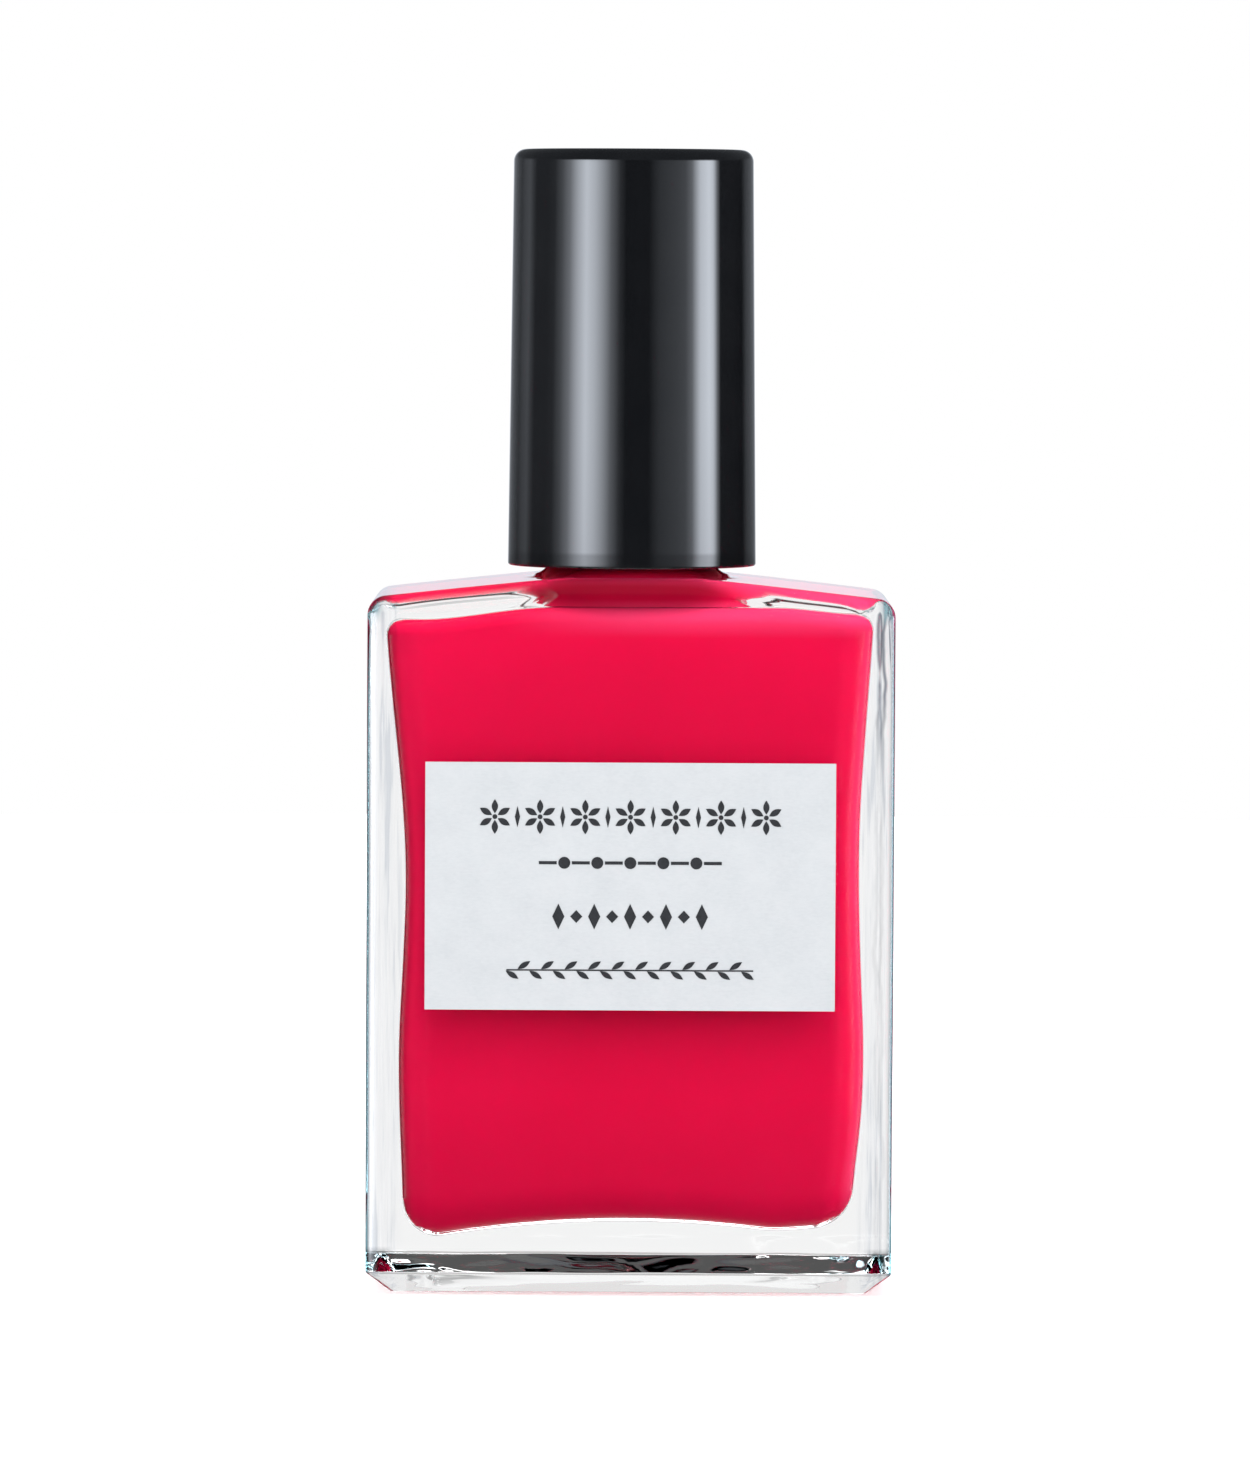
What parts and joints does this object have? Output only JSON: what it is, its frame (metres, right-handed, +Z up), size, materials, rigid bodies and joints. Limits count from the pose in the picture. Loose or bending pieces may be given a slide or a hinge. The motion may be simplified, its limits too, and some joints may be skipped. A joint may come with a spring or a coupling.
{
  "type": "nail polish bottle",
  "caption": "Rectangular clear glass bottle of crimson nail lacquer with a tall gloss black screw cap, a brush on the cap, steel mixing balls and a plain paper front label.",
  "frame": {"origin": "middle of the base, on the surface that the bottle stands on", "axes": "+Z up along the neck, cap and brush; +X to the right across the bottle's width; the label faces -Y"},
  "size_m": [0.0368, 0.0205, 0.08],
  "materials": {
    "clear_glass": "clear flint glass, fire-polished",
    "crimson_lacquer": "opaque crimson cream lacquer, wet",
    "gloss_black_plastic": "polished black",
    "closure_plastic": "natural polypropylene",
    "liner_foam": "expanded polyethylene",
    "stem_plastic": "black polyethylene",
    "bristle": "nylon filaments, wet with lacquer",
    "steel": "polished stainless steel",
    "label_paper": "fine laid paper, pale blue-grey"
  },
  "bodies": {
    "bottle": {"glass_bottle": "clear_glass", "nail_lacquer": "crimson_lacquer", "front_label": "label_paper"},
    "seal": {"cap_liner": "liner_foam"},
    "cap": {"outer_cap": "gloss_black_plastic", "inner_cap": "closure_plastic", "brush_stem": "stem_plastic", "brush_anchor": "steel", "brush_tuft": "bristle"},
    "ball_1": {"mixing_ball_1": "steel"},
    "ball_2": {"mixing_ball_2": "steel"}
  },
  "joints": [
    {"name": "cap_rise", "type": "slide", "parent": "bottle", "child": "seal", "axis": [0, 0, 1], "range_m": [0, 0.05716], "deforming": ["nail_lacquer"]},
    {"name": "cap_turn", "type": "hinge", "parent": "seal", "child": "cap", "pos_m": [0, 0, 0.063], "axis": [0, 0, 1], "continuous": true, "deforming": ["nail_lacquer"]},
    {"name": "ball_1_rattle", "type": "slide", "parent": "bottle", "child": "ball_1", "axis": [0, 0, 1], "range_m": [0, 0.034], "deforming": ["nail_lacquer"]},
    {"name": "ball_2_rattle", "type": "slide", "parent": "bottle", "child": "ball_2", "axis": [0, 0, 1], "range_m": [0, 0.034], "deforming": ["nail_lacquer"]}
  ],
  "couplings": [
    {"joint": "cap_turn", "follows": "cap_rise", "rad_per_m": 2968}
  ]
}
